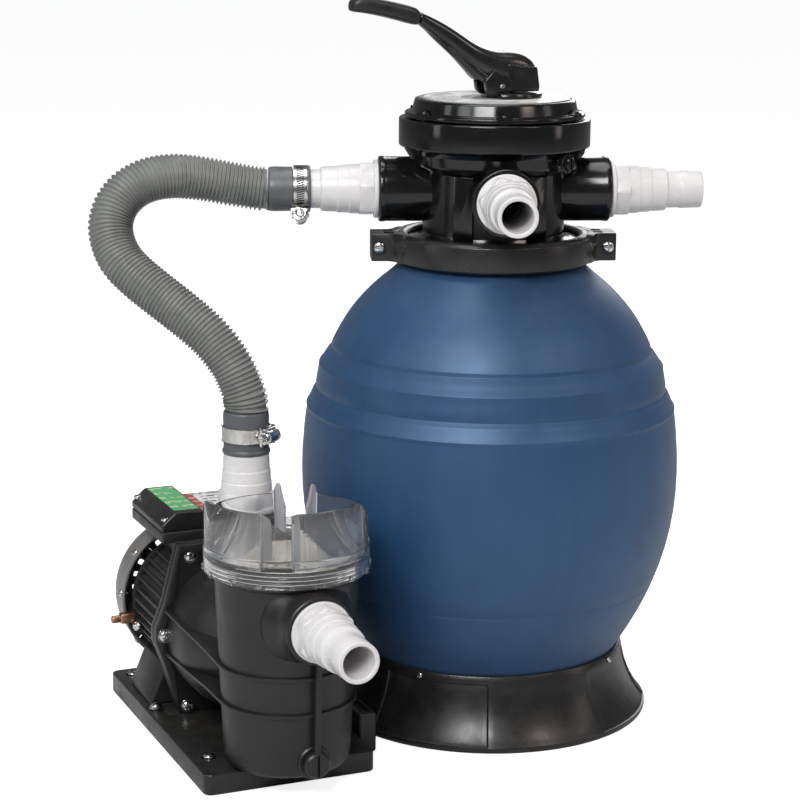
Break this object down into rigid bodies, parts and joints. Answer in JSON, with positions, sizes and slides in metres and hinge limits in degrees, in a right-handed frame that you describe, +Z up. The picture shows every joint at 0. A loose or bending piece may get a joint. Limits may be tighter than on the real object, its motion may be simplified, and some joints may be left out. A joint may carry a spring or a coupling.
{
  "type": "sand filter tank",
  "caption": "Sand filter tank on a round base with a top multiport valve, joined by a corrugated hose to a strainer pump on its own base.",
  "frame": {"origin": "on the floor, under the middle of the set without its hose", "axes": "+X towards the return port, +Y to the back, +Z up"},
  "size_m": [0.5257, 0.5079, 0.6263],
  "materials": {
    "tank_blue": "satin, blow-moulded",
    "gloss_black": "glossy moulded",
    "satin_black": "satin moulded",
    "pump_black": "fine matt moulded",
    "white_pvc": "glossy moulded",
    "hose_grey": "satin flexible plastic",
    "stainless": "stamped stainless steel",
    "label_white": "printed plastic disc",
    "seal_rubber": "matt",
    "clear_plastic": "clear polycarbonate",
    "basket_cream": "moulded",
    "cover_grey": "fine matt moulded",
    "brass": "dull brass",
    "motor_core": "laminated steel and copper"
  },
  "bodies": {
    "root": {"tank_body": "tank_blue", "tank_base": "satin_black", "neck_seal": "seal_rubber", "standpipe": "white_pvc", "lateral_hub": "white_pvc", "clamp_half_front": "satin_black", "clamp_half_rear": "satin_black", "clamp_screw_left": "stainless", "clamp_screw_right": "stainless", "clamp_nut_left": "stainless", "clamp_nut_right": "stainless", "valve_body": "gloss_black", "valve_cover": "gloss_black", "cover_label": "label_white", "spider_gasket": "seal_rubber", "gauge_plug": "gloss_black", "adaptor_left": "white_pvc", "adaptor_front": "white_pvc", "adaptor_right": "white_pvc", "adaptor_suction": "white_pvc", "adaptor_discharge": "white_pvc", "hose": "hose_grey", "hose_cuff_upper": "hose_grey", "hose_cuff_lower": "hose_grey", "hose_clamp_upper": "stainless", "hose_clamp_lower": "stainless", "hose_clamp_upper_screw": "stainless", "hose_clamp_lower_screw": "stainless", "pump_base": "satin_black", "base_coupler": "satin_black", "motor_foot": "satin_black", "pump_housing": "pump_black", "motor_bracket": "pump_black", "shaft_seal": "seal_rubber", "motor_stator": "motor_core", "motor_case": "satin_black", "front_bearing": "stainless", "rear_bearing": "stainless", "fan_cover": "cover_grey", "terminal_box": "satin_black", "terminal_lid": "satin_black", "cable_gland": "satin_black", "bonding_lug": "brass"},
    "spindle": {"index_plate": "satin_black", "valve_spring": "stainless", "spring_washer": "stainless"},
    "rotor": {"valve_rotor": "white_pvc", "lever_pin": "stainless"},
    "lever": {"lever": "gloss_black", "lever_grip": "satin_black"},
    "lid_seal_ring": {"lid_seal": "seal_rubber"},
    "lid": {"strainer_lid": "clear_plastic"},
    "basket": {"strainer_basket": "basket_cream"},
    "drain": {"drain_plug": "pump_black"},
    "motor_spindle": {"motor_shaft": "stainless", "motor_rotor": "motor_core", "fan": "satin_black", "impeller": "white_pvc"}
  },
  "joints": [
    {"name": "handle_turn", "type": "hinge", "parent": "root", "child": "spindle", "pos_m": [0.0786, 0.08855, 0.541], "axis": [0, 0, 1], "continuous": true},
    {"name": "rotor_lift", "type": "slide", "parent": "spindle", "child": "rotor", "axis": [0, 0, 1], "range_m": [0, 0.005], "stiffness_N_per_m": 3000, "springref_m": -0.004, "deforming": ["valve_spring"]},
    {"name": "lever_press", "type": "hinge", "parent": "rotor", "child": "lever", "pos_m": [0.07958, 0.08876, 0.551], "axis": [0.2079, -0.9781, 0], "range_deg": [0, 25]},
    {"name": "lid_lift", "type": "slide", "parent": "root", "child": "lid_seal_ring", "axis": [0.0287, -0.0823, 0.9962], "range_m": [0, 0.13]},
    {"name": "lid_turn", "type": "hinge", "parent": "lid_seal_ring", "child": "lid", "pos_m": [-0.10442, -0.10076, 0], "axis": [0, 0, 1], "range_deg": [0, 540]},
    {"name": "basket_lift", "type": "slide", "parent": "root", "child": "basket", "axis": [0, 0, 1], "range_m": [0, 0.104]},
    {"name": "drain_turn", "type": "hinge", "parent": "root", "child": "drain", "pos_m": [-0.08058, -0.15705, 0.033], "axis": [0.3289, -0.9444, 0], "range_deg": [0, 720]},
    {"name": "motor_spin", "type": "hinge", "parent": "root", "child": "motor_spindle", "pos_m": [-0.16657, 0.07773, 0.09], "axis": [-0.3289, 0.9444, 0], "continuous": true}
  ],
  "couplings": [
    {"joint": "rotor_lift", "follows": "lever_press", "m_per_rad": 0.011459},
    {"joint": "basket_lift", "follows": "lid_lift", "ratio": 0.8}
  ]
}
